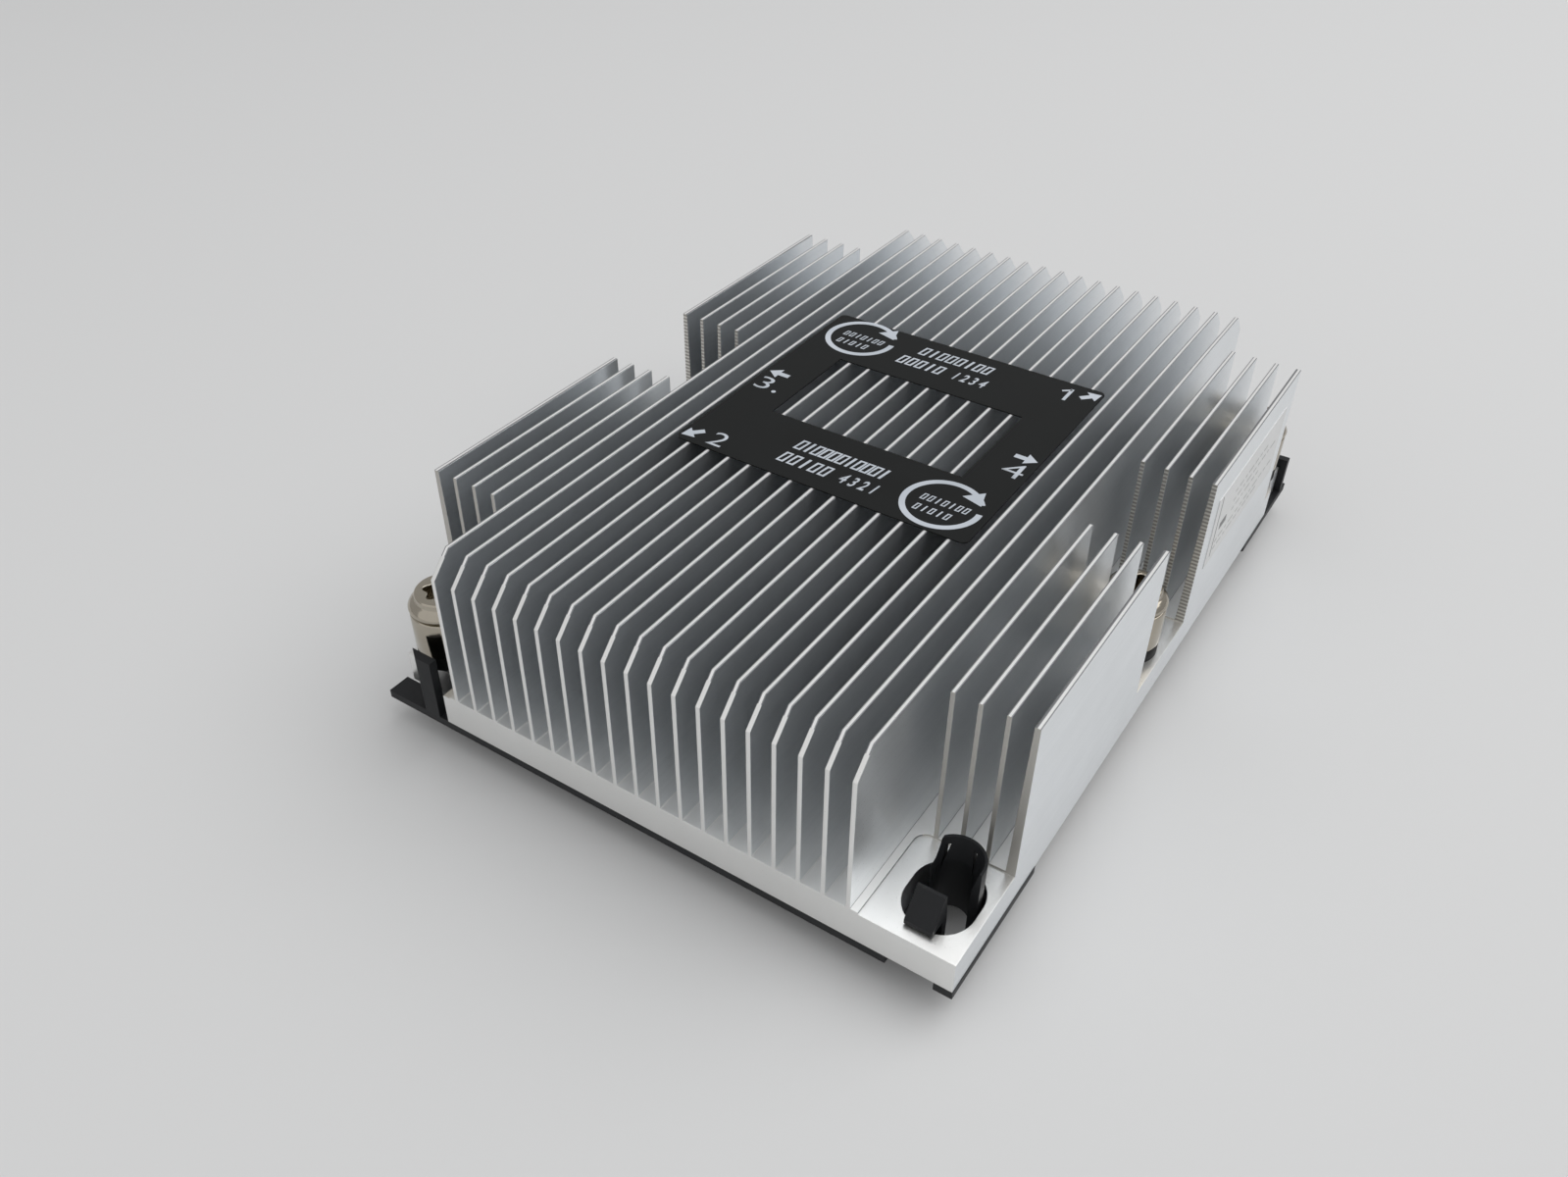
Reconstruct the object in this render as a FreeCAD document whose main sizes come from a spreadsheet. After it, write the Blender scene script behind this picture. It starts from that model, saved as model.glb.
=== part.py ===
import FreeCAD, Part
import math
import os

import Sketcher

# Passive heatsink for a narrow server processor socket.
# X runs across the fins, Y along them, Z up. The origin is on the surface the part stands on,
# under the middle of the base plate. Sizes are in millimetres.

document = FreeCAD.newDocument("ServerHeatsink")
sheet = document.addObject("Spreadsheet::Sheet", "Sizes")

# Driving sizes: each can be changed by itself.
drivingSizes = [
    # base plate and fins
    ("baseWidth", 78),
    ("baseLength", 108),
    ("baseThickness", 4.5),
    ("heatsinkHeight", 25.3),
    ("finCount", 27),
    ("sideFinCount", 4),
    ("finThickness", 0.52),
    ("outerFinTip", 0.65),
    ("outerFinRoot", 1.15),
    ("endChamferRun", 2.8),
    ("endChamferRise", 2.85),
    # milled places: corner pockets, side notches and corner reliefs
    ("cornerPocketLength", 13),
    ("notchLength", 15.6),
    ("pocketDepth", 0.25),
    ("pocketMargin", 0.9),
    ("pocketRadius", 1.5),
    ("pocketFinGap", 0.05),
    ("reliefWidth", 9.9),
    ("reliefDepth", 3.15),
    ("sideReliefDepth", 0.92),
    ("sideReliefLength", 10),
    ("sideReliefRun", 2.8),
    ("padMargin", 1.3),
    ("padRise", 0.2),
    # holes in the base, measured from its edges
    ("nutEdgeX", 4.87),
    ("nutEdgeY", 6.75),
    ("nutHoleRadius", 3.04),
    ("guideHoleRadius", 3.9),
    ("guideHoleStretch", 0.93),
    # captive nuts
    ("shankRadius", 2.95),
    ("barrelRadius", 4.2),
    ("barrelHeight", 5.25),
    ("headRadius", 4.35),
    ("headHeight", 1.05),
    ("shoulderRise", 0.75),
    ("capRadius", 3.3),
    ("capHeight", 1.05),
    ("threadRadius", 1.65),
    ("threadDepth", 10),
    ("recessRadius", 2.25),
    ("recessWaist", 1.55),
    ("recessDepth", 3),
    # collars under the nuts and rings that keep the nuts in the base
    ("washerRadius", 4.1),
    ("washerBore", 3.04),
    ("washerHeight", 1.7),
    ("nutTravel", 1.2),
    ("ringThickness", 0.6),
    ("ringRadius", 3.8),
    ("ringWidth", 0.7),
    ("ringGrooveRadius", 2.45),
    ("ringClearance", 0.05),
    ("ringMouth", 3.2),
    ("ringToothWidth", 1.5),
    ("ringLand", 0.95),
    # carrier clip
    ("carrierDepth", 4.5),
    ("flangeThickness", 1.1),
    ("flangeOverhang", 0.05),
    ("flangeInset", 1.4),
    ("stripGapStart", 7.6),
    ("cornerFoot", 2.1),
    ("stripGapDepth", 1.6),
    ("sideStripLength", 19),
    ("sideFrame", 10.7),
    ("endFrame", 15.9),
    ("skirtThickness", 1.1),
    ("nutClearance", 0.5),
    ("nutMouthWidth", 7.6),
    ("ribThickness", 1),
    ("ribDepth", 2.2),
    ("ribSpacing", 14),
    ("ribCount", 4),
    ("ribSetback", 2.6),
    ("snapLugLength", 8),
    ("snapLugReach", 0.5),
    ("snapLugHeight", 0.8),
    ("snapLugPlace", 24),
    # snap towers that come up through the guide holes
    ("towerRadius", 3.15),
    ("towerWall", 0.95),
    ("towerRim", 0.3),
    ("towerLeadIn", 2.9),
    ("towerCutWidth", 0.75),
    ("towerCutDepth", 2.1),
    ("towerStretch", 0.62),
    ("towerShift", 0.72),
    ("towerOffset", 0.22),
    ("towerHeight", 9),
    ("tongueWidth", 3.2),
    ("tongueTipWidth", 2.4),
    ("tongueTip", 0.4),
    ("tongueOffset", 0.18),
    ("tongueHeight", 8.1),
    ("hookReach", 0.4),
    ("hookClearance", 0.2),
    ("hookLip", 0.6),
    # posts and corner lugs in the corner reliefs
    ("postThickness", 1.1),
    ("postHeight", 8.4),
    ("postWidth", 2.3),
    ("postBackWidth", 3.85),
    ("postGap", 1.4),
    ("cornerCount", 2),
    ("lugWidth", 1.5),
    ("lugThickness", 1.15),
    ("lugSetback", 1.6),
    ("lugHeight", 5.4),
    # labels
    ("labelWidth", 39.9),
    ("labelLength", 39.5),
    ("labelOffset", 0.5),
    ("labelThickness", 0.15),
    ("labelRadius", 0.9),
    ("labelWindowWidth", 26.8),
    ("labelWindowLength", 16.4),
    ("labelWindowOffset", 0.6),
    ("sideLabelMargin", 3.2),
    ("sideLabelHeight", 10.3),
    ("sideLabelThickness", 0.1),
    ("sideLabelRise", 11),
]

# Sizes worked out from the driving ones.
derivedSizes = [
    ("halfWidth", "baseWidth / 2"),
    ("halfLength", "baseLength / 2"),
    ("finTop", "heatsinkHeight"),
    ("finPitch", "(baseWidth - finThickness) / (finCount - 1)"),
    ("tallFinCount", "finCount - 2 * sideFinCount"),
    ("tallFinRow", "(tallFinCount - 1) * finPitch"),
    ("tallFinFace", "tallFinRow / 2 + finThickness / 2"),
    ("tallFinStart", "0 - tallFinFace"),
    ("sideFinRow", "(sideFinCount - 1) * finPitch"),
    ("sideFinStart", "halfWidth - finThickness - sideFinRow"),
    ("finRoot", "baseThickness / 2"),
    ("outerFinTipX", "halfWidth - outerFinTip"),
    ("outerFinRootX", "halfWidth - outerFinRoot"),
    ("chamferEnd", "halfLength - endChamferRun"),
    ("chamferStart", "finTop - endChamferRise"),
    ("sideFinOuterEnd", "halfLength - cornerPocketLength"),
    ("sideFinInnerEnd", "notchLength / 2"),
    ("sideFinLength", "sideFinOuterEnd - sideFinInnerEnd"),
    ("pocketEdge", "tallFinFace + pocketMargin"),
    ("pocketFloor", "baseThickness - pocketDepth"),
    ("pocketCorner", "min(pocketRadius; sideFinStart - pocketEdge - pocketFinGap)"),
    ("reliefX", "halfWidth - reliefWidth"),
    ("reliefY", "halfLength - reliefDepth"),
    ("sideReliefX", "halfWidth - sideReliefDepth"),
    ("sideReliefY", "halfLength - sideReliefLength"),
    ("sideReliefEnd", "sideReliefY + sideReliefRun"),
    ("nutX", "halfWidth - nutEdgeX"),
    ("nutY", "halfLength - nutEdgeY"),
    ("guideRearY", "nutY - guideHoleStretch"),
    ("guideFrontY", "nutY + guideHoleStretch"),
    ("barrelBottom", "pocketFloor + washerHeight"),
    ("barrelTop", "barrelBottom + barrelHeight"),
    ("headTop", "barrelTop + headHeight"),
    ("shoulderTop", "headTop + shoulderRise"),
    ("nutTop", "shoulderTop + capHeight"),
    ("lobeX", "recessRadius / 2"),
    ("lobeY", "recessRadius * 0.8660254"),
    ("waistX", "recessWaist * 0.8660254"),
    ("waistY", "recessWaist / 2"),
    ("ringTop", "0 - nutTravel"),
    ("ringBottom", "ringTop - ringThickness"),
    ("grooveTop", "ringTop + ringClearance"),
    ("grooveBottom", "ringBottom - ringClearance"),
    ("nutBottom", "grooveBottom - ringLand"),
    ("threadTop", "nutBottom + threadDepth"),
    ("ringBore", "ringRadius - ringWidth"),
    ("ringMiddle", "ringRadius - ringWidth / 2"),
    ("ringToothEnd", "ringGrooveRadius + ringClearance"),
    ("ringMouthHalf", "ringMouth / 2"),
    ("ringToothHalf", "ringToothWidth / 2"),
    ("flangeX", "halfWidth + flangeOverhang"),
    ("flangeInsetX", "halfWidth - flangeInset"),
    ("flangeBottom", "0 - flangeThickness"),
    ("frontStripEnd", "halfWidth - stripGapStart"),
    ("cornerFootStart", "halfWidth - cornerFoot"),
    ("stripGapY", "halfLength - stripGapDepth"),
    ("sideStripEnd", "halfLength - sideStripLength"),
    ("sideStripTaper", "sideStripEnd - flangeInset"),
    ("skirtHeight", "carrierDepth - flangeThickness"),
    ("windowX", "halfWidth - sideFrame"),
    ("windowY", "halfLength - endFrame"),
    ("padX", "windowX - padMargin"),
    ("padY", "windowY - padMargin"),
    ("skirtX", "windowX + skirtThickness"),
    ("skirtY", "windowY + skirtThickness"),
    ("nutClearRadius", "ringRadius + nutClearance"),
    ("nutMouthHalf", "nutMouthWidth / 2"),
    ("nutMouthEnd", "flangeX + nutClearance"),
    ("cornerMouthLow", "nutY - nutMouthHalf"),
    ("cornerMouthHigh", "nutY + nutMouthHalf"),
    ("ribRow", "(ribCount - 1) * ribSpacing"),
    ("ribStart", "0 - ribRow / 2 - ribThickness / 2"),
    ("ribOuterY", "halfLength - ribSetback"),
    ("ribBottom", "flangeBottom - ribDepth"),
    ("snapLugLow", "snapLugPlace - snapLugLength / 2"),
    ("snapLugHigh", "snapLugPlace + snapLugLength / 2"),
    ("snapLugX", "windowX - snapLugReach"),
    ("towerX", "nutX + towerOffset"),
    ("towerY", "nutY - towerShift"),
    ("towerRearY", "towerY - towerStretch"),
    ("towerFrontY", "towerY + towerStretch"),
    ("towerBore", "towerRadius - towerWall"),
    ("towerLength", "towerHeight + flangeThickness"),
    ("towerMouthRadius", "towerRadius - towerRim"),
    ("towerLeadInAngle", "atan((towerMouthRadius - towerBore) / towerLeadIn)"),
    ("towerSideLow", "towerX - towerRadius - hookClearance"),
    ("towerSideHigh", "towerX + towerRadius + hookClearance"),
    ("towerMouthEnd", "towerFrontY + towerRadius + hookClearance"),
    ("towerCutX", "towerX - towerRadius + towerCutWidth"),
    ("towerCutY", "towerRearY - towerCutDepth"),
    ("tongueMiddle", "nutX - tongueOffset"),
    ("tongueStart", "tongueMiddle - tongueWidth / 2"),
    ("tongueEnd", "tongueMiddle + tongueWidth / 2"),
    ("tongueTipStart", "tongueMiddle - tongueTipWidth / 2"),
    ("tongueTipEnd", "tongueMiddle + tongueTipWidth / 2"),
    ("tongueInner", "towerFrontY + towerBore"),
    ("tongueOuter", "towerFrontY + towerRadius"),
    ("tongueTipInner", "tongueOuter - tongueTip"),
    ("tongueCut", "towerMouthEnd - towerY"),
    ("hookY", "guideFrontY + guideHoleRadius + hookReach"),
    ("hookBottom", "pocketFloor + hookClearance"),
    ("hookTop", "hookBottom + hookLip"),
    ("postInnerX", "reliefX + postGap"),
    ("postOuterX", "postInnerX + postWidth"),
    ("postBackX", "postInnerX + postBackWidth"),
    ("postY", "halfLength - postThickness"),
    ("postLength", "postHeight + flangeThickness"),
    ("lugX", "halfWidth - lugWidth"),
    ("lugEnd", "halfLength - lugSetback"),
    ("lugY", "lugEnd - lugThickness"),
    ("labelX", "labelWidth / 2"),
    ("labelFront", "labelOffset - labelLength / 2"),
    ("labelBack", "labelOffset + labelLength / 2"),
    ("labelWindowX", "labelWindowWidth / 2"),
    ("labelWindowFront", "labelWindowOffset - labelWindowLength / 2"),
    ("labelWindowBack", "labelWindowOffset + labelWindowLength / 2"),
    ("sideLabelStart", "sideFinInnerEnd + sideLabelMargin"),
    ("sideLabelEnd", "sideFinOuterEnd - sideLabelMargin"),
    ("sideLabelTop", "sideLabelRise + sideLabelHeight"),
]

for row, (name, value) in enumerate(drivingSizes, start=1):
    sheet.set(f"A{row}", name)
    sheet.set(f"B{row}", str(value))
    sheet.setAlias(f"B{row}", name)
for row, (name, formula) in enumerate(derivedSizes, start=1):
    sheet.set(f"D{row}", name)
    sheet.set(f"E{row}", "=" + formula)
    sheet.setAlias(f"E{row}", name)
document.recompute()

subParts = []


def size(name):
    """A size by name, with its sign; "0" is the axis itself."""
    if name == "0":
        return 0.0
    if name.startswith("-"):
        return -float(sheet.get(name[1:]))
    return float(sheet.get(name))


def cell(name):
    """The expression that binds a property to a named size."""
    if name.startswith("-"):
        return "-Sizes." + name[1:]
    return "Sizes." + name


def newBody(label, place=None, level="carrierDepth"):
    """A sub-part whose own zero level is the underside of the base plate."""
    body = document.addObject("PartDesign::Body", label)
    body.Label = label
    if place:
        body.setExpression("Placement.Base.x", cell(place[0]))
        if place[1] != "0":
            body.setExpression("Placement.Base.y", cell(place[1]))
    body.setExpression("Placement.Base.z", cell(level))
    subParts.append(body)
    return body


def newSketch(body, name, role="XY_Plane", height=None):
    sketch = body.newObject("Sketcher::SketchObject", name)
    plane = next(f for f in body.Origin.OriginFeatures if f.Role == role)
    sketch.AttachmentSupport = [(plane, "")]
    sketch.MapMode = "FlatFace"
    if height:
        sketch.setExpression("AttachmentOffset.Base.z", cell(height))
    return sketch


def bindDistance(sketch, kind, geometry, point, name):
    """Hold one coordinate of a point at a named size from the sketch's origin."""
    if name == "0":
        axis = -2 if kind == "DistanceX" else -1
        sketch.addConstraint(Sketcher.Constraint("PointOnObject", geometry, point, axis))
        return
    held = Sketcher.Constraint(kind, -1, 1, geometry, point, size(name))
    sketch.setExpression(f"Constraints[{sketch.addConstraint(held)}]", cell(name))


def drawOutline(sketch, corners):
    """A closed outline of straight lines through corners given by size names."""
    points = [FreeCAD.Vector(size(x), size(y), 0) for x, y in corners]
    first = sketch.GeometryCount
    count = len(points)
    for i, point in enumerate(points):
        sketch.addGeometry(Part.LineSegment(point, points[(i + 1) % count]), False)
    for i in range(count):
        follower = first + (i + 1) % count
        sketch.addConstraint(Sketcher.Constraint("Coincident", first + i, 2, follower, 1))
    for i, (x, y) in enumerate(corners):
        bindDistance(sketch, "DistanceX", first + i, 1, x)
        bindDistance(sketch, "DistanceY", first + i, 1, y)


def opposite(name):
    """The same named size on the other side of the origin."""
    return name[1:] if name.startswith("-") else "-" + name


def drawBox(sketch, lowX, highX, lowY, highY):
    drawOutline(sketch, [(lowX, lowY), (highX, lowY), (highX, highY), (lowX, highY)])


def drawCircle(sketch, x, y, radius):
    centre = FreeCAD.Vector(size(x), size(y), 0)
    index = sketch.addGeometry(Part.Circle(centre, FreeCAD.Vector(0, 0, 1), size(radius)), False)
    bindDistance(sketch, "DistanceX", index, 3, x)
    bindDistance(sketch, "DistanceY", index, 3, y)
    held = sketch.addConstraint(Sketcher.Constraint("Radius", index, size(radius)))
    sketch.setExpression(f"Constraints[{held}]", cell(radius))


def drawSlot(sketch, x, lowY, highY, radius):
    """A slot along Y: two half circles joined by two tangent lines."""
    r = size(radius)
    low = FreeCAD.Vector(size(x), size(lowY), 0)
    high = FreeCAD.Vector(size(x), size(highY), 0)
    side = FreeCAD.Vector(r, 0, 0)
    up = FreeCAD.Vector(0, 0, 1)
    first = sketch.GeometryCount
    sketch.addGeometry(Part.ArcOfCircle(Part.Circle(high, up, r), 0, math.pi), False)
    sketch.addGeometry(Part.LineSegment(high - side, low - side), False)
    sketch.addGeometry(Part.ArcOfCircle(Part.Circle(low, up, r), math.pi, 2 * math.pi), False)
    sketch.addGeometry(Part.LineSegment(low + side, high + side), False)
    for i in range(4):
        sketch.addConstraint(Sketcher.Constraint("Tangent", first + i, 2, first + (i + 1) % 4, 1))
    for arc, y in ((first, highY), (first + 2, lowY)):
        bindDistance(sketch, "DistanceX", arc, 3, x)
        bindDistance(sketch, "DistanceY", arc, 3, y)
        held = sketch.addConstraint(Sketcher.Constraint("Radius", arc, r))
        sketch.setExpression(f"Constraints[{held}]", cell(radius))


def pad(body, sketch, name, length):
    feature = body.newObject("PartDesign::Pad", name)
    feature.Profile = sketch
    feature.setExpression("Length", cell(length))
    document.recompute()
    return feature


def pocket(body, sketch, name, depth):
    """Cut downwards from the sketch by a named depth, and make sure that it cut."""
    before = body.Shape.Volume
    feature = body.newObject("PartDesign::Pocket", name)
    feature.Profile = sketch
    feature.setExpression("Length", cell(depth))
    document.recompute()
    if not body.Shape.Volume < before:
        raise RuntimeError(f"{name} cuts nothing")
    return feature


def cutThrough(body, sketch, name):
    """Cut both ways through everything, and make sure that it cut."""
    before = body.Shape.Volume
    feature = body.newObject("PartDesign::Pocket", name)
    feature.Profile = sketch
    feature.SideType = "Symmetric"
    feature.Type = "ThroughAll"
    document.recompute()
    if not body.Shape.Volume < before:
        raise RuntimeError(f"{name} cuts nothing")
    return feature


def repeatAlong(body, feature, name, role, length, count):
    axis = next(f for f in body.Origin.OriginFeatures if f.Role == role)
    pattern = body.newObject("PartDesign::LinearPattern", name)
    pattern.Originals = [feature]
    pattern.Direction = (axis, [""])
    pattern.setExpression("Length", cell(length))
    pattern.setExpression("Occurrences", cell(count))
    body.Tip = pattern
    document.recompute()
    return pattern


def repeatRound(body, features, name, count):
    """Repeat features round the upright axis, evenly over a full turn."""
    axis = next(f for f in body.Origin.OriginFeatures if f.Role == "Z_Axis")
    pattern = body.newObject("PartDesign::PolarPattern", name)
    pattern.Originals = features
    pattern.Axis = (axis, [""])
    pattern.Angle = 360
    pattern.setExpression("Occurrences", cell(count))
    body.Tip = pattern
    document.recompute()
    return pattern


def roundEdges(body, name, radius, wanted):
    """Fillet the edges that the test picks, by a named radius."""
    base = body.Tip
    edges = [f"Edge{i}" for i, edge in enumerate(base.Shape.Edges, start=1) if wanted(edge)]
    if not edges:
        raise RuntimeError(f"{name} finds no edge")
    feature = body.newObject("PartDesign::Fillet", name)
    feature.Base = (base, edges)
    feature.setExpression("Radius", cell(radius))
    document.recompute()
    return feature


def isUpright(edge):
    box = edge.BoundBox
    return box.XLength < 1e-4 and box.YLength < 1e-4


def makeHeatsink():
    body = newBody("finned_heatsink")

    # base plate, with a step cut from the two corners where the posts stand
    outline = newSketch(body, "baseOutline")
    half = [
        ("-reliefX", "-halfLength"), ("halfWidth", "-halfLength"), ("halfWidth", "sideReliefY"),
        ("sideReliefX", "sideReliefEnd"), ("sideReliefX", "reliefY"), ("reliefX", "reliefY"),
    ]
    drawOutline(outline, half + [(opposite(x), opposite(y)) for x, y in half])
    pad(body, outline, "basePlate", "baseThickness")

    # tall fins: one side view, repeated across
    profile = newSketch(body, "tallFinProfile", "YZ_Plane", "tallFinStart")
    drawOutline(profile, [
        ("-halfLength", "finRoot"), ("halfLength", "finRoot"), ("halfLength", "chamferStart"),
        ("chamferEnd", "finTop"), ("-chamferEnd", "finTop"), ("-halfLength", "chamferStart"),
    ])
    fin = pad(body, profile, "tallFin", "finThickness")
    repeatAlong(body, fin, "tallFins", "X_Axis", "tallFinRow", "tallFinCount")

    # short fins on the right, in two groups with a notch between them, then the same on the left
    profile = newSketch(body, "sideFinProfile", "YZ_Plane", "sideFinStart")
    drawBox(profile, "-sideFinOuterEnd", "-sideFinInnerEnd", "finRoot", "finTop")
    drawBox(profile, "sideFinInnerEnd", "sideFinOuterEnd", "finRoot", "finTop")
    fin = pad(body, profile, "sideFinRight", "finThickness")
    repeatAlong(body, fin, "sideFinsRight", "X_Axis", "sideFinRow", "sideFinCount")
    profile = newSketch(body, "sideFinProfileLeft", "YZ_Plane")
    profile.setExpression("AttachmentOffset.Base.z", "-Sizes.halfWidth")
    drawBox(profile, "-sideFinOuterEnd", "-sideFinInnerEnd", "finRoot", "finTop")
    drawBox(profile, "sideFinInnerEnd", "sideFinOuterEnd", "finRoot", "finTop")
    fin = pad(body, profile, "sideFinLeft", "finThickness")
    repeatAlong(body, fin, "sideFinsLeft", "X_Axis", "sideFinRow", "sideFinCount")

    # the outermost fins are thicker and widen towards the root
    section = newSketch(body, "outerFinSection", "XZ_Plane", "sideFinInnerEnd")
    for side in ("", "-"):
        drawOutline(section, [
            (side + "halfWidth", "finRoot"), (side + "halfWidth", "finTop"),
            (side + "outerFinTipX", "finTop"), (side + "outerFinRootX", "finRoot"),
        ])
    outer = pad(body, section, "outerFins", "sideFinLength")
    repeatRound(body, [outer], "outerFinsBack", "cornerCount")

    # shallow milled floors in the corners and the notches
    floors = newSketch(body, "milledFloors", "XY_Plane", "baseThickness")
    for inner, outer in (("pocketEdge", "halfWidth"), ("-halfWidth", "-pocketEdge")):
        drawBox(floors, inner, outer, "-halfLength", "-sideFinOuterEnd")
        drawBox(floors, inner, outer, "-sideFinInnerEnd", "sideFinInnerEnd")
        drawBox(floors, inner, outer, "sideFinOuterEnd", "halfLength")
    pocket(body, floors, "milledFloor", "pocketDepth")
    edgeX = size("pocketEdge")
    ends = (size("sideFinOuterEnd"), size("sideFinInnerEnd"))
    midLevel = (size("pocketFloor") + size("baseThickness")) / 2

    def isFloorCorner(edge):
        spot = edge.CenterOfMass
        atEdge = abs(abs(spot.x) - edgeX) < 1e-3 and abs(spot.z - midLevel) < 1e-3
        return atEdge and min(abs(abs(spot.y) - end) for end in ends) < 1e-3 and isUpright(edge)

    roundEdges(body, "milledFloorCorners", "pocketCorner", isFloorCorner)

    # holes for the nuts and for the board's guide pins
    holes = newSketch(body, "baseHoles")
    drawCircle(holes, "nutX", "nutY", "nutHoleRadius")
    drawCircle(holes, "-nutX", "-nutY", "nutHoleRadius")
    drawCircle(holes, "nutX", "0", "nutHoleRadius")
    drawCircle(holes, "-nutX", "0", "nutHoleRadius")
    drawSlot(holes, "nutX", "-guideFrontY", "-guideRearY", "guideHoleRadius")
    drawSlot(holes, "-nutX", "guideRearY", "guideFrontY", "guideHoleRadius")
    cutThrough(body, holes, "baseHole")

    # raised contact pad for the processor's lid
    contact = newSketch(body, "contactOutline", "XY_Plane", "-padRise")
    drawBox(contact, "-padX", "padX", "-padY", "padY")
    pad(body, contact, "contactPad", "padRise")


def makeNut(label, place):
    body = newBody(label, place)
    profile = newSketch(body, label + "_profile", "XZ_Plane")
    drawOutline(profile, [
        ("0", "threadTop"), ("threadRadius", "threadTop"), ("threadRadius", "nutBottom"),
        ("shankRadius", "nutBottom"), ("shankRadius", "grooveBottom"),
        ("ringGrooveRadius", "grooveBottom"), ("ringGrooveRadius", "grooveTop"),
        ("shankRadius", "grooveTop"), ("shankRadius", "barrelBottom"),
        ("barrelRadius", "barrelBottom"), ("barrelRadius", "barrelTop"), ("headRadius", "barrelTop"),
        ("headRadius", "headTop"), ("capRadius", "shoulderTop"), ("capRadius", "nutTop"),
        ("0", "nutTop"),
    ])
    turned = body.newObject("PartDesign::Revolution", label + "_turned")
    turned.Profile = profile
    turned.ReferenceAxis = (profile, ["V_Axis"])
    turned.Angle = 360
    document.recompute()

    # six-pointed driver recess
    recess = newSketch(body, label + "_recessOutline", "XY_Plane", "nutTop")
    drawOutline(recess, [
        ("recessRadius", "0"), ("waistX", "waistY"), ("lobeX", "lobeY"), ("0", "recessWaist"),
        ("-lobeX", "lobeY"), ("-waistX", "waistY"), ("-recessRadius", "0"), ("-waistX", "-waistY"),
        ("-lobeX", "-lobeY"), ("0", "-recessWaist"), ("lobeX", "-lobeY"), ("waistX", "-waistY"),
    ])
    pocket(body, recess, label + "_recess", "recessDepth")


def makeWasher(label, place):
    body = newBody(label, place)
    section = newSketch(body, label + "_section", "XZ_Plane")
    drawBox(section, "washerBore", "washerRadius", "pocketFloor", "barrelBottom")
    turned = body.newObject("PartDesign::Revolution", label + "_turned")
    turned.Profile = section
    turned.ReferenceAxis = (section, ["V_Axis"])
    turned.Angle = 360
    document.recompute()


def makeRetainingRing(label, place):
    """An open ring with three teeth that reach into the nut's groove."""
    body = newBody(label, place)
    outline = newSketch(body, label + "_outline", "XY_Plane", "ringBottom")
    drawCircle(outline, "0", "0", "ringRadius")
    drawCircle(outline, "0", "0", "ringBore")
    pad(body, outline, label + "_ring", "ringThickness")
    mouth = newSketch(body, label + "_mouthOutline", "XY_Plane", "ringTop")
    drawBox(mouth, "-ringMouthHalf", "ringMouthHalf", "0", "nutClearRadius")
    pocket(body, mouth, label + "_mouth", "ringThickness")
    teeth = newSketch(body, label + "_teethOutline", "XY_Plane", "ringBottom")
    drawBox(teeth, "-ringToothHalf", "ringToothHalf", "-ringMiddle", "-ringToothEnd")
    drawBox(teeth, "ringToothEnd", "ringMiddle", "-ringToothHalf", "ringToothHalf")
    drawBox(teeth, "-ringMiddle", "-ringToothEnd", "-ringToothHalf", "ringToothHalf")
    pad(body, teeth, label + "_teeth", "ringThickness")


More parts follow.
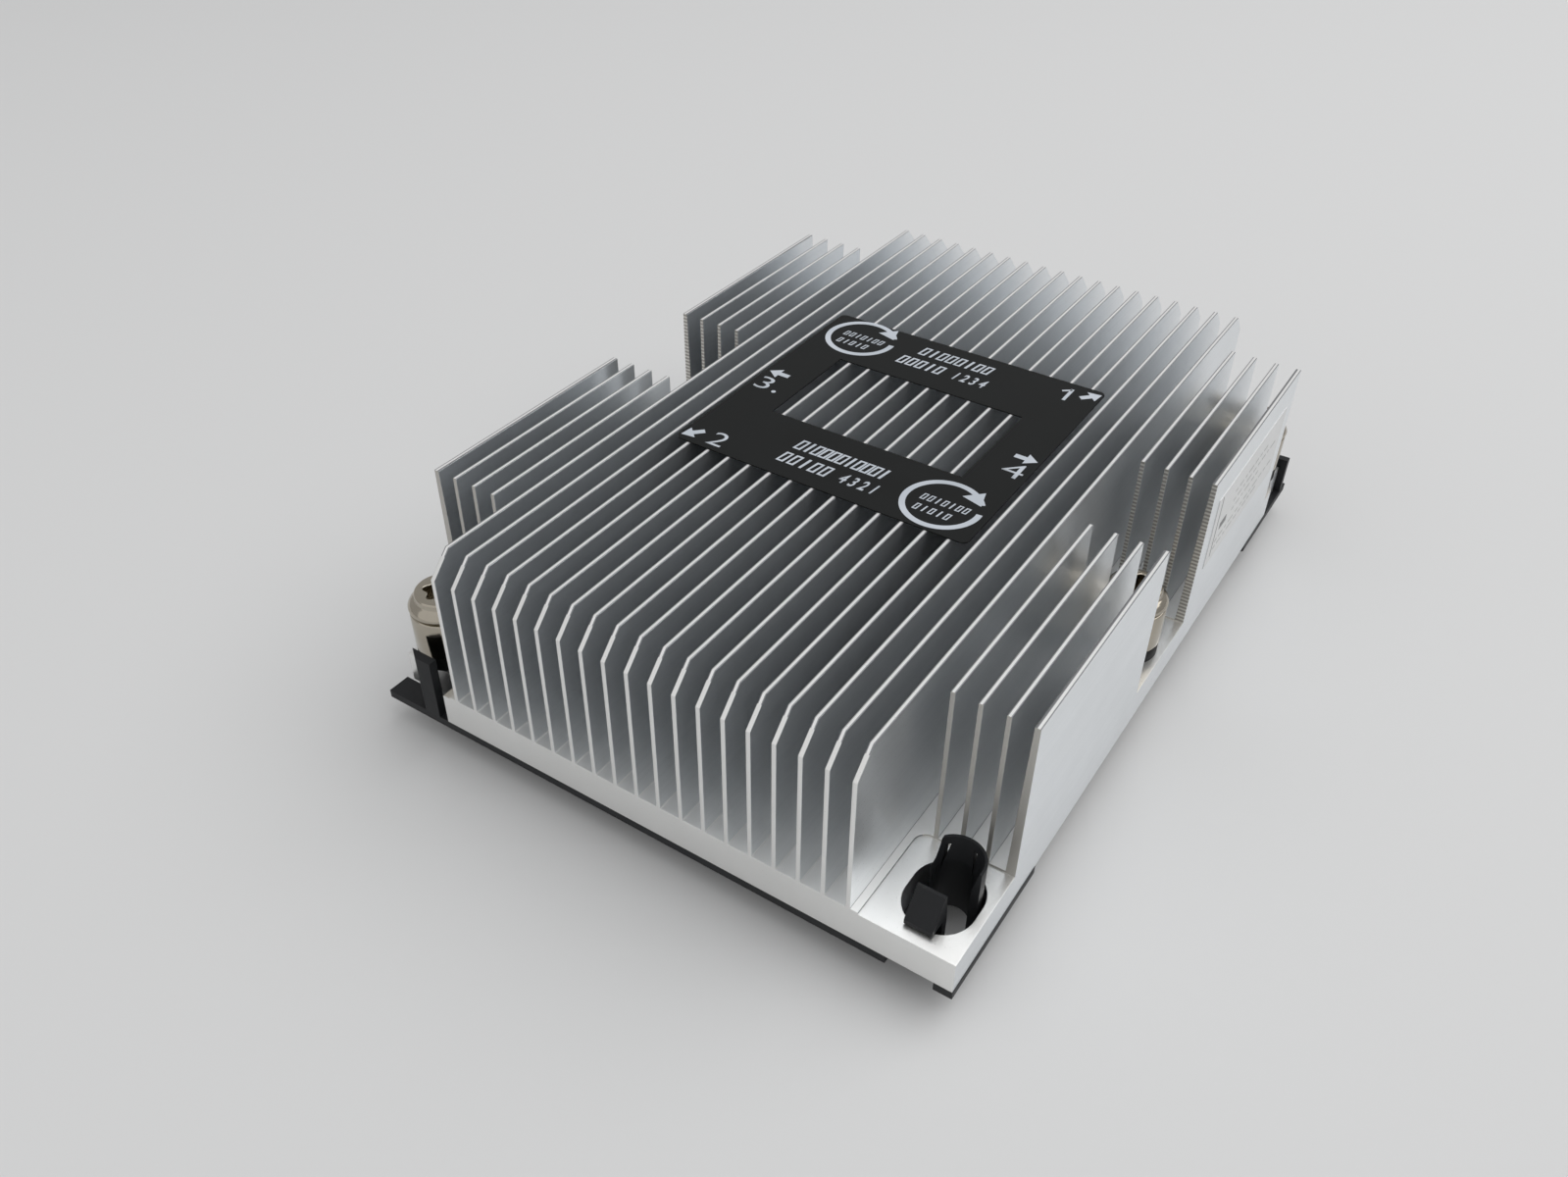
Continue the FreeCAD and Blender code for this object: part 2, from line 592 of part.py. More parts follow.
def makeCarrierClip():
    body = newBody("carrier_clip")

    # flange that lies against the underside of the base; the second half is the first turned over
    half = [
        ("-flangeX", "-halfLength"), ("frontStripEnd", "-halfLength"), ("frontStripEnd", "-stripGapY"),
        ("cornerFootStart", "-stripGapY"), ("cornerFootStart", "-halfLength"), ("flangeX", "-halfLength"),
        ("flangeX", "-sideStripEnd"), ("flangeInsetX", "-sideStripTaper"),
        ("flangeInsetX", "sideStripTaper"), ("flangeX", "sideStripEnd"),
    ]
    outline = newSketch(body, "flangeOutline", "XY_Plane", "flangeBottom")
    drawOutline(outline, half + [(opposite(x), opposite(y)) for x, y in half])
    pad(body, outline, "flange", "flangeThickness")

    # skirt round the processor's window, down to the level that the part stands on
    skirt = newSketch(body, "skirtOutline", "XY_Plane", "-carrierDepth")
    drawBox(skirt, "-skirtX", "skirtX", "-skirtY", "skirtY")
    pad(body, skirt, "skirt", "skirtHeight")

    # stiffening ribs from the skirt towards the front and the back
    ribSide = newSketch(body, "ribSide", "YZ_Plane", "ribStart")
    drawBox(ribSide, "-ribOuterY", "-windowY", "ribBottom", "flangeBottom")
    drawBox(ribSide, "windowY", "ribOuterY", "ribBottom", "flangeBottom")
    rib = pad(body, ribSide, "rib", "ribThickness")
    repeatAlong(body, rib, "ribs", "X_Axis", "ribRow", "ribCount")

    # window for the processor package
    window = newSketch(body, "windowOutline")
    drawBox(window, "-windowX", "windowX", "-windowY", "windowY")
    cutThrough(body, window, "window")

    # room for the nuts and their rings, open to the side at three of them
    room = newSketch(body, "nutRoomOutline")
    drawCircle(room, "nutX", "nutY", "nutClearRadius")
    drawCircle(room, "-nutX", "-nutY", "nutClearRadius")
    drawCircle(room, "nutX", "0", "nutClearRadius")
    drawCircle(room, "-nutX", "0", "nutClearRadius")
    cutThrough(body, room, "nutRoom")
    mouths = newSketch(body, "nutMouthOutline")
    drawBox(mouths, "-nutMouthEnd", "-nutX", "-cornerMouthHigh", "-cornerMouthLow")
    drawBox(mouths, "nutX", "nutMouthEnd", "-nutMouthHalf", "nutMouthHalf")
    drawBox(mouths, "-nutMouthEnd", "-nutX", "-nutMouthHalf", "nutMouthHalf")
    cutThrough(body, mouths, "nutMouth")

    # lugs that hold the processor package in the window
    lugs = newSketch(body, "snapLugOutline", "XY_Plane", "-carrierDepth")
    for low, high in (("-windowX", "-snapLugX"), ("snapLugX", "windowX")):
        drawBox(lugs, low, high, "-snapLugHigh", "-snapLugLow")
        drawBox(lugs, low, high, "snapLugLow", "snapLugHigh")
    pad(body, lugs, "snapLugs", "snapLugHeight")

    # snap towers: a split tube, its rear half tall, its front cut away round a hooked tongue
    towers = newSketch(body, "towerOutline", "XY_Plane", "flangeBottom")
    drawSlot(towers, "towerX", "-towerFrontY", "-towerRearY", "towerRadius")
    drawSlot(towers, "-towerX", "towerRearY", "towerFrontY", "towerRadius")
    pad(body, towers, "towers", "towerLength")
    bores = newSketch(body, "towerBoreOutline")
    drawSlot(bores, "towerX", "-towerFrontY", "-towerRearY", "towerBore")
    drawSlot(bores, "-towerX", "towerRearY", "towerFrontY", "towerBore")
    cutThrough(body, bores, "towerBores")
    mouths = newSketch(body, "towerMouthOutline", "XY_Plane", "towerHeight")
    mouth = [
        ("towerSideLow", "-towerMouthEnd"), ("towerSideHigh", "-towerMouthEnd"), ("towerSideHigh", "-towerY"),
        ("towerCutX", "-towerY"), ("towerCutX", "-towerCutY"), ("towerSideLow", "-towerCutY"),
    ]
    drawOutline(mouths, mouth)
    drawOutline(mouths, [(opposite(x), opposite(y)) for x, y in mouth])
    pocket(body, mouths, "towerMouths", "towerHeight")
    leadIns = newSketch(body, "towerLeadInOutline", "XY_Plane", "towerHeight")
    drawSlot(leadIns, "towerX", "-towerFrontY", "-towerRearY", "towerMouthRadius")
    drawSlot(leadIns, "-towerX", "towerRearY", "towerFrontY", "towerMouthRadius")
    cone = pocket(body, leadIns, "towerLeadIns", "towerLeadIn")
    cone.setExpression("TaperAngle", "-Sizes.towerLeadInAngle")
    document.recompute()
    side = newSketch(body, "tongueSide", "YZ_Plane", "tongueStart")
    drawOutline(side, [
        ("-tongueInner", "flangeBottom"), ("-tongueInner", "pocketFloor"),
        ("-tongueTipInner", "tongueHeight"), ("-tongueOuter", "tongueHeight"),
        ("-hookY", "hookTop"), ("-hookY", "hookBottom"),
        ("-tongueOuter", "hookBottom"), ("-tongueOuter", "flangeBottom"),
    ])
    tongue = pad(body, side, "tongue", "tongueWidth")
    front = newSketch(body, "tongueTaperOutline", "XZ_Plane", "towerY")
    drawOutline(front, [
        ("tongueStart", "hookTop"), ("tongueTipStart", "tongueHeight"), ("tongueStart", "tongueHeight"),
    ])
    drawOutline(front, [
        ("tongueEnd", "hookTop"), ("tongueEnd", "tongueHeight"), ("tongueTipEnd", "tongueHeight"),
    ])
    taper = pocket(body, front, "tongueTaper", "tongueCut")

    # posts in the corner reliefs, and a short lug in the rear one
    foot = newSketch(body, "postOutline", "XY_Plane", "flangeBottom")
    drawOutline(foot, [
        ("-postOuterX", "-halfLength"), ("-postInnerX", "-halfLength"),
        ("-postInnerX", "-postY"), ("-postBackX", "-postY"),
    ])
    post = pad(body, foot, "post", "postLength")
    repeatRound(body, [tongue, taper, post], "secondCorner", "cornerCount")
    lug = newSketch(body, "cornerLugOutline")
    drawBox(lug, "lugX", "halfWidth", "lugY", "lugEnd")
    pad(body, lug, "cornerLug", "lugHeight")


def makeInstructionLabel():
    body = newBody("instruction_label")
    outline = newSketch(body, "labelOutline", "XY_Plane", "finTop")
    drawBox(outline, "-labelX", "labelX", "labelFront", "labelBack")
    drawBox(outline, "-labelWindowX", "labelWindowX", "labelWindowFront", "labelWindowBack")
    pad(body, outline, "labelSheet", "labelThickness")
    reach = size("labelX")

    def isOuterCorner(edge):
        return abs(abs(edge.CenterOfMass.x) - reach) < 1e-3 and isUpright(edge)

    roundEdges(body, "labelCorners", "labelRadius", isOuterCorner)


def makeSideLabel():
    body = newBody("side_label")
    outline = newSketch(body, "sideLabelOutline", "YZ_Plane", "halfWidth")
    drawBox(outline, "sideLabelStart", "sideLabelEnd", "sideLabelRise", "sideLabelTop")
    pad(body, outline, "sideLabelSheet", "sideLabelThickness")


# captive nuts by the number that the label gives them
nutPlaces = [("nutX", "nutY"), ("-nutX", "-nutY"), ("-nutX", "0"), ("nutX", "0")]

makeHeatsink()
makeCarrierClip()
for number, place in enumerate(nutPlaces, start=1):
    makeNut(f"captive_nut_{number}", place)
    makeWasher(f"washer_{number}", place)
    makeRetainingRing(f"retaining_ring_{number}", place)
makeInstructionLabel()
makeSideLabel()
document.recompute()

for item in document.Objects:
    if "Invalid" in item.State or "Error" in item.State:
        raise RuntimeError(f"{item.Name} failed to recompute: {item.State}")

os.makedirs("parts", exist_ok=True)
for body in subParts:
    shape = body.Shape
    if shape.isNull() or not shape.isValid() or len(shape.Solids) != 1:
        raise RuntimeError(f"{body.Label} is not one valid solid")
    shape.exportStep(f"parts/{body.Label}.step")
    print(f"{body.Label}: {shape.Volume:.1f} mm3")
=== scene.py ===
import math
from itertools import cycle

import bpy
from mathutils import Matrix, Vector


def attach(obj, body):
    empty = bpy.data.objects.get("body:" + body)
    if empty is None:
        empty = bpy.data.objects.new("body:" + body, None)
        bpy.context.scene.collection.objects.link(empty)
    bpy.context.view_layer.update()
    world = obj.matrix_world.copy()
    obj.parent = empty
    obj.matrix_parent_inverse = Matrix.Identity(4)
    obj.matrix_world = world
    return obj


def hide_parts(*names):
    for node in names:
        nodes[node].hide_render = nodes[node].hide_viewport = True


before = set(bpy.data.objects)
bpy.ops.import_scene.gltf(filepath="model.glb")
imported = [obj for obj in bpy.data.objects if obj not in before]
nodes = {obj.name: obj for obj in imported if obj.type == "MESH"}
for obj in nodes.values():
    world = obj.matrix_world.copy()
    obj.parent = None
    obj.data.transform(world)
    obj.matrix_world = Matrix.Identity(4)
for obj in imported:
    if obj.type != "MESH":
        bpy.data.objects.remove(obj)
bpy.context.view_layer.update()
mm = 0.001


# helpers for meshes

def selectNone():
    if bpy.context.object and bpy.context.object.mode != "OBJECT":
        bpy.ops.object.mode_set(mode="OBJECT")
    bpy.ops.object.select_all(action="DESELECT")


def selectOnly(piece):
    selectNone()
    piece.select_set(True)
    bpy.context.view_layer.objects.active = piece


def settle(piece, name):
    # the place goes into the mesh, and the object to the origin
    selectOnly(piece)
    bpy.ops.object.transform_apply(location=True, rotation=True, scale=True)
    piece.name = name
    piece.data.name = name
    return piece


def copyOf(piece, name, move):
    twin = piece.copy()
    twin.data = piece.data.copy()
    bpy.context.scene.collection.objects.link(twin)
    selectOnly(twin)
    bpy.ops.transform.translate(value=move)
    return settle(twin, name)


def pushRing(move, grow, centre):
    # the picked ring is extruded along Z and then made wider or narrower
    bpy.ops.mesh.extrude_region_move(TRANSFORM_OT_translate={"value": (0, 0, move)})
    if grow != 1:
        bpy.ops.transform.resize(value=(grow, grow, 1), center_override=centre)


def joined(pieces, name):
    selectNone()
    for piece in pieces:
        piece.select_set(True)
    bpy.context.view_layer.objects.active = pieces[0]
    bpy.ops.object.join()
    return settle(bpy.context.object, name)


def pickVertices(piece, wanted):
    # leaves the piece in edit mode with only the wanted vertices picked
    bpy.ops.object.mode_set(mode="EDIT")
    bpy.ops.mesh.select_mode(type="VERT")
    bpy.ops.mesh.select_all(action="DESELECT")
    bpy.ops.object.mode_set(mode="OBJECT")
    for vertex in piece.data.vertices:
        vertex.select = wanted(vertex)
    bpy.ops.object.mode_set(mode="EDIT")


def faceUp(piece):
    # faces of flat print look away from the label
    selectOnly(piece)
    bpy.ops.object.mode_set(mode="EDIT")
    bpy.ops.mesh.select_mode(type="FACE")
    bpy.ops.mesh.select_all(action="DESELECT")
    bpy.ops.object.mode_set(mode="OBJECT")
    for face in piece.data.polygons:
        face.select = face.normal.z < 0
    bpy.ops.object.mode_set(mode="EDIT")
    bpy.ops.mesh.flip_normals()
    bpy.ops.mesh.select_mode(type="VERT")
    bpy.ops.object.mode_set(mode="OBJECT")
    return piece


def thicken(piece, depth):
    selectOnly(piece)
    solid = piece.modifiers.new("Thickness", "SOLIDIFY")
    solid.thickness = depth
    solid.offset = 1  # outwards only
    bpy.ops.object.modifier_apply(modifier=solid.name)


def coat(piece, material):
    piece.data.materials.clear()
    piece.data.materials.append(material)


# helpers for materials: x and y are only a node's place in the node editor

def addNode(tree, kind, x, y, **settings):
    node = tree.nodes.new(kind)
    node.location = (x, y)
    for name, value in settings.items():
        setattr(node, name, value)
    return node


def plug(tree, value, socket):
    if isinstance(value, (int, float, tuple)):
        socket.default_value = value
    else:
        tree.links.new(value, socket)


def maths(tree, operation, x, y, first, second=0.0):
    node = addNode(tree, "ShaderNodeMath", x, y, operation=operation)
    plug(tree, first, node.inputs[0])
    plug(tree, second, node.inputs[1])
    return node.outputs[0]


def mixed(tree, x, y, share, first, second):
    node = addNode(tree, "ShaderNodeMix", x, y, data_type="RGBA")
    plug(tree, share, node.inputs[0])
    plug(tree, first, node.inputs[6])
    plug(tree, second, node.inputs[7])
    return node.outputs[2]


def blended(tree, x, y, share, first, second):
    node = addNode(tree, "ShaderNodeMix", x, y)
    plug(tree, share, node.inputs[0])
    plug(tree, first, node.inputs[2])
    plug(tree, second, node.inputs[3])
    return node.outputs[0]


def between(tree, x, y, value, limits):
    above = maths(tree, "GREATER_THAN", x, y, value, limits[0])
    below = maths(tree, "LESS_THAN", x, y + 150, value, limits[1])
    return maths(tree, "MULTIPLY", x + 150, y, above, below)


def rangeOf(tree, x, y, value, old, new):
    node = addNode(tree, "ShaderNodeMapRange", x, y)
    plug(tree, value, node.inputs[0])
    for socket, number in zip(node.inputs[1:5], (*old, *new)):
        socket.default_value = number
    return node.outputs[0]


def newGroup(name, inputs, outputs):
    group = bpy.data.node_groups.new(name, "ShaderNodeTree")
    for socket, kind, value in inputs:
        made = group.interface.new_socket(socket, in_out="INPUT", socket_type="NodeSocket" + kind)
        if value is not None:
            made.default_value = value
    for socket, kind in outputs:
        group.interface.new_socket(socket, in_out="OUTPUT", socket_type="NodeSocket" + kind)
    start = addNode(group, "NodeGroupInput", -900, 0)
    end = addNode(group, "NodeGroupOutput", 700, 0)
    return group, end.inputs, start.outputs


def useGroup(tree, group, x, y, **values):
    node = addNode(tree, "ShaderNodeGroup", x, y, node_tree=group)
    for name, value in values.items():
        plug(tree, value, node.inputs[name])
    return node.outputs


patterns = {
    "facing": 0.7,  # a normal's share along an axis, from which a face counts as looking that way
    "lineRough": 0.6, "lineRange": (0.28, 0.72),
    "grainDetail": 2.0, "patchScale": 130.0, "patchDetail": 5.0, "patchRange": (0.35, 0.65),
}


def makeStretchedLines():
    # noise that is drawn out along one direction, as tools leave it
    inputs = [("Place", "Vector", None), ("Stretch", "Vector", (1, 1, 1)), ("Detail", "Float", 3.0)]
    group, out, given = newGroup("stretchedLines", inputs, [("Value", "Float")])
    times = addNode(group, "ShaderNodeVectorMath", -600, 0, operation="MULTIPLY")
    plug(group, given["Place"], times.inputs[0])
    plug(group, given["Stretch"], times.inputs[1])
    noise = addNode(group, "ShaderNodeTexNoise", -350, 0)
    noise.inputs["Scale"].default_value = 1.0
    noise.inputs["Roughness"].default_value = patterns["lineRough"]
    plug(group, times.outputs[0], noise.inputs["Vector"])
    plug(group, given["Detail"], noise.inputs["Detail"])
    plug(group, rangeOf(group, 0, 0, noise.outputs["Fac"], patterns["lineRange"], (0, 1)), out["Value"])
    return group


def makeFacing():
    # which way a face looks and where it is, in the object's own axes
    outputs = [("Side", "Float"), ("End", "Float"), ("Top", "Float"), ("Place", "Vector"),
               ("Height", "Float"), ("Along", "Float"), ("Across", "Float")]
    group, out = newGroup("facing", [], outputs)[:2]
    where = addNode(group, "ShaderNodeTexCoord", -700, 0)
    parts = addNode(group, "ShaderNodeSeparateXYZ", -450, 150)
    plug(group, where.outputs["Normal"], parts.inputs[0])
    for axis, name, y in (("X", "Side", 300), ("Y", "End", 150)):
        size = maths(group, "ABSOLUTE", -200, y, parts.outputs[axis])
        plug(group, maths(group, "GREATER_THAN", 0, y, size, patterns["facing"]), out[name])
    plug(group, maths(group, "GREATER_THAN", 0, 0, parts.outputs["Z"], patterns["facing"]), out["Top"])
    spots = addNode(group, "ShaderNodeSeparateXYZ", -450, -150)
    plug(group, where.outputs["Object"], spots.inputs[0])
    plug(group, where.outputs["Object"], out["Place"])
    for axis, name in (("Z", "Height"), ("Y", "Along"), ("X", "Across")):
        plug(group, spots.outputs[axis], out[name])
    return group


def makeGrain():
    # fine bumps of moulded plastic with soft patches of tone
    inputs = [("Place", "Vector", None), ("Size", "Float", 5000.0)]
    group, out, given = newGroup("mouldedGrain", inputs, [("Height", "Float"), ("Patches", "Float")])
    fine = addNode(group, "ShaderNodeTexNoise", -400, 150)
    plug(group, given["Place"], fine.inputs["Vector"])
    plug(group, given["Size"], fine.inputs["Scale"])
    fine.inputs["Detail"].default_value = patterns["grainDetail"]
    plug(group, fine.outputs["Fac"], out["Height"])
    broad = addNode(group, "ShaderNodeTexNoise", -400, -150)
    plug(group, given["Place"], broad.inputs["Vector"])
    broad.inputs["Scale"].default_value = patterns["patchScale"]
    broad.inputs["Detail"].default_value = patterns["patchDetail"]
    plug(group, rangeOf(group, 0, -150, broad.outputs["Fac"], patterns["patchRange"], (0, 1)), out["Patches"])
    return group


facing = makeFacing()
stretchedLines = makeStretchedLines()
mouldedGrain = makeGrain()


def linesOf(tree, x, y, place, stretch, detail):
    return useGroup(tree, stretchedLines, x, y, Place=place, Stretch=stretch, Detail=detail)["Value"]


def newMaterial(name):
    material = bpy.data.materials.new(name)
    material.use_nodes = True
    shader = material.node_tree.nodes["Principled BSDF"]
    shader.location = (900, 0)
    return material, shader


def bumped(tree, shader, height, depth, strength=1.0, edge=0.0):
    bump = addNode(tree, "ShaderNodeBump", 650, -400)
    bump.inputs["Distance"].default_value = depth
    bump.inputs["Strength"].default_value = strength
    plug(tree, height, bump.inputs["Height"])
    plug(tree, bump.outputs["Normal"], shader.inputs["Normal"])
    if edge:
        # edges look rounded by this radius in the light
        soft = addNode(tree, "ShaderNodeBevel", 450, -550, samples=4)
        soft.inputs["Radius"].default_value = edge
        plug(tree, soft.outputs[0], bump.inputs["Normal"])


aluminium = {
    # colours of the fins' sides, of all other faces, of cut ends, and the painted highlight and painted shade
    # of the fin tops
    "side": (0.895, 0.92, 0.942, 1), "sideDark": (0.85, 0.877, 0.90, 1), "end": (0.90, 0.90, 0.885, 1),
    "cut": (0.76, 0.745, 0.71, 1), "cutDark": (0.38, 0.367, 0.34, 1),
    "top": (0.98, 0.98, 0.975, 1), "topEdgeShade": (0.22, 0.225, 0.235, 1),
    # colours of the painted shade line at the outer fins' roots, the painted highlight line at the tall fins'
    # roots, and dirt
    "rootShade": (0.30, 0.31, 0.32, 1), "creaseHighlight": (1.0, 1.0, 1.0, 1), "dirtColour": (0.4, 0.4, 0.4, 1),
    # shares of dirt and metal, and roughness
    "dirt": 0.05, "metal": 0.93, "topMetal": 0.5, "gapMetal": 0.75, "creaseMetal": 0.15,
    "rough": (0.27, 0.37), "cutRough": 0.5, "gapRough": 0.42,
    # patterns are counted to the metre along x, y and z
    "streaks": (90.0, 10.0, 2600.0), "streakDetail": 3.0, "satin": (7000.0, 7000.0, 7000.0),
    "satinDetail": 2.0, "cutLines": 1900.0, "cutWave": (-0.6, 0.6), "plainStep": 0.6,
    "reliefShare": 0.5, "relief": 0.000005,
    # places and sizes in metres: distances from the middle, heights, and the fin tops
    "cutEnds": 0.046, "notchEnds": 0.03, "rootAcross": (0.0269, 0.0385), "creaseAcross": 0.0268,
    "root": (0.0087, 0.00912), "crease": (0.0087, 0.0092), "gapFloor": (0.0089, 0.0095),
    "topFrom": 0.029, "finPitch": 0.00298, "topShadeRange": (0.00010, 0.00020), "edge": 0.00012,
}


def cutEndsOf(tree, look):
    # ends that a cutter left between the pockets, and the steps across those in the side notches
    far = maths(tree, "ABSOLUTE", -600, -100, look["Along"])
    inner = maths(tree, "LESS_THAN", -450, -100, far, aluminium["cutEnds"])
    cut = maths(tree, "MULTIPLY", -300, -100, inner, look["End"])
    turns = maths(tree, "MULTIPLY", -600, -300, look["Height"], aluminium["cutLines"] * 2 * math.pi)
    wave = maths(tree, "SINE", -450, -300, turns)
    stepped = rangeOf(tree, -300, -300, wave, aluminium["cutWave"], (0, 1))
    notch = maths(tree, "LESS_THAN", -450, -450, far, aluminium["notchEnds"])
    return cut, blended(tree, -150, -300, notch, aluminium["plainStep"], stepped)


def paintedTopLightOf(tree, look):
    # painted highlight and painted shade on the fin tops: bright in the middle and darker towards their
    # edges, standing in for the light on rounded tops
    turns = maths(tree, "DIVIDE", -450, 1800, look["Across"], aluminium["finPitch"])
    nearest = maths(tree, "ROUND", -300, 1950, turns)
    offset = maths(tree, "ABSOLUTE", 0, 1800, maths(tree, "SUBTRACT", -150, 1800, turns, nearest))
    offset = maths(tree, "MULTIPLY", 150, 1800, offset, aluminium["finPitch"])
    edge = rangeOf(tree, 300, 1800, offset, aluminium["topShadeRange"], (0, 1))
    high = maths(tree, "GREATER_THAN", -300, 1650, look["Height"], aluminium["topFrom"])
    finTop = maths(tree, "MULTIPLY", -150, 1650, look["Top"], high)
    return finTop, mixed(tree, 450, 1800, edge, aluminium["top"], aluminium["topEdgeShade"])


def paintedRootLinesOf(tree, look):
    # painted shade: a thin dark line where the outer fins meet their floor; painted highlight: a light line
    # at the roots between the tall fins
    across = maths(tree, "ABSOLUTE", -150, 900, look["Across"])
    root = between(tree, 0, 600, look["Height"], aluminium["root"])
    root = maths(tree, "MULTIPLY", 150, 600, look["Side"], root)
    root = maths(tree, "MULTIPLY", 300, 600, root, between(tree, 0, 900, across, aluminium["rootAcross"]))
    crease = between(tree, 0, 1200, look["Height"], aluminium["crease"])
    crease = maths(tree, "MULTIPLY", 150, 1200, look["Side"], crease)
    inner = maths(tree, "LESS_THAN", 0, 1500, across, aluminium["creaseAcross"])
    return root, maths(tree, "MULTIPLY", 300, 1200, crease, inner)


def makeAluminium():
    material, shader = newMaterial("finAluminium")
    tree = material.node_tree
    look = useGroup(tree, facing, -900, 0)
    streaks = linesOf(tree, -600, 300, look["Place"], aluminium["streaks"], aluminium["streakDetail"])
    satin = linesOf(tree, -600, 100, look["Place"], aluminium["satin"], aluminium["satinDetail"])
    spots = useGroup(tree, mouldedGrain, -600, -600, Place=look["Place"])["Patches"]
    cut, steps = cutEndsOf(tree, look)
    finTop, topHighlightAndShade = paintedTopLightOf(tree, look)
    root, crease = paintedRootLinesOf(tree, look)
    # colour
    side = mixed(tree, -300, 400, streaks, aluminium["side"], aluminium["sideDark"])
    body = mixed(tree, 0, 300, look["Side"], aluminium["end"], side)
    # painted highlight and painted shade on the fin tops
    body = mixed(tree, 150, 300, finTop, body, topHighlightAndShade)
    cutColour = mixed(tree, -100, -200, steps, aluminium["cut"], aluminium["cutDark"])
    body = mixed(tree, 300, 300, cut, body, cutColour)
    dirt = maths(tree, "MULTIPLY", 300, 50, spots, aluminium["dirt"])
    body = mixed(tree, 450, 300, dirt, body, aluminium["dirtColour"])
    # painted shade at the outer fins' roots, then a painted highlight at the tall fins' roots
    body = mixed(tree, 550, 300, root, body, aluminium["rootShade"])
    body = mixed(tree, 650, 300, crease, body, aluminium["creaseHighlight"])
    plug(tree, body, shader.inputs["Base Color"])
    # the floors between the fins are duller than the fins
    low = between(tree, -100, -900, look["Height"], aluminium["gapFloor"])
    floor = maths(tree, "MULTIPLY", 100, -900, look["Top"], low)
    rough = rangeOf(tree, 200, -100, satin, (0, 1), aluminium["rough"])
    rough = blended(tree, 350, -100, floor, rough, aluminium["gapRough"])
    rough = blended(tree, 500, -100, cut, rough, aluminium["cutRough"])
    plug(tree, rough, shader.inputs["Roughness"])
    metal = blended(tree, 500, -250, floor, aluminium["metal"], aluminium["gapMetal"])
    # the fin tops with their painted highlight are less metallic
    metal = blended(tree, 575, -250, finTop, metal, aluminium["topMetal"])
    # the painted highlight line at the tall fins' roots is less metallic, so its white colour shows
    metal = blended(tree, 650, -250, crease, metal, aluminium["creaseMetal"])
    plug(tree, metal, shader.inputs["Metallic"])
    # relief of the satin, the streaks and the cutter's steps
    fine = maths(tree, "MULTIPLY", 200, -400, streaks, aluminium["reliefShare"])
    relief = maths(tree, "MULTIPLY", 200, -550, satin, aluminium["reliefShare"])
    relief = maths(tree, "ADD", 350, -400, relief, fine)
    relief = maths(tree, "ADD", 500, -400, relief, maths(tree, "MULTIPLY", 350, -700, cut, steps))
    bumped(tree, shader, relief, aluminium["relief"], edge=aluminium["edge"])
    return material


# plastics, films and inks: grain is counted to the metre, depth and edge are in metres

clipPlastic = {"base": (0.011, 0.0118, 0.013, 1), "light": (0.016, 0.017, 0.019, 1), "rough": (0.42, 0.6),
               "shine": 0.26, "grain": 5200.0, "depth": 0.00002, "edge": 0.00012}
washerPlastic = {"base": (0.006, 0.0065, 0.007, 1), "light": (0.01, 0.0105, 0.011, 1), "rough": (0.5, 0.65),
                 "shine": 0.12, "grain": 5200.0, "depth": 0.00002}
labelFilm = {"base": (0.0085, 0.0092, 0.0092, 1), "light": (0.012, 0.013, 0.0132, 1), "rough": (0.45, 0.58),
             "shine": 0.14, "grain": 7000.0, "depth": 0.000006}
labelPrint = {"base": (0.50, 0.545, 0.60, 1), "light": (0.60, 0.64, 0.70, 1), "rough": (0.45, 0.6),
              "shine": 0.3, "grain": 9000.0, "depth": 0.000003}
sideFilm = {"base": (0.72, 0.725, 0.725, 1), "light": (0.77, 0.775, 0.775, 1), "rough": (0.4, 0.55),
            "shine": 0.4, "grain": 9000.0, "depth": 0.000003}
sidePrint = {"base": (0.20, 0.20, 0.20, 1), "light": (0.26, 0.26, 0.26, 1), "rough": (0.45, 0.6),
             "shine": 0.3, "grain": 9000.0, "depth": 0.000003}
sideRows = {"base": (0.47, 0.47, 0.465, 1), "light": (0.54, 0.54, 0.535, 1), "rough": (0.45, 0.6),
            "shine": 0.3, "grain": 9000.0, "depth": 0.000003}


def makePlastic(name, values):
    material, shader = newMaterial(name)
    tree = material.node_tree
    look = useGroup(tree, facing, -900, 0)
    grain = useGroup(tree, mouldedGrain, -600, 0, Place=look["Place"], Size=values["grain"])
    body = mixed(tree, -200, 200, grain["Patches"], values["base"], values["light"])
    plug(tree, body, shader.inputs["Base Color"])
    rough = rangeOf(tree, -200, -100, grain["Patches"], (0, 1), values["rough"])
    plug(tree, rough, shader.inputs["Roughness"])
    shader.inputs["Specular IOR Level"].default_value = values["shine"]
    bumped(tree, shader, grain["Height"], values["depth"], strength=0.5, edge=values.get("edge", 0.0))
    return material


nickel = {"base": (0.47, 0.43, 0.36, 1), "dull": (0.30, 0.27, 0.225, 1), "rough": (0.06, 0.14)}
ringSteel = {"base": (0.42, 0.42, 0.43, 1), "dull": (0.28, 0.28, 0.29, 1), "rough": (0.25, 0.45)}
turned = {"lines": (6000.0, 1.0, 6000.0), "detail": 2.0, "dullShare": 0.5, "depth": 0.00001, "strength": 0.4}


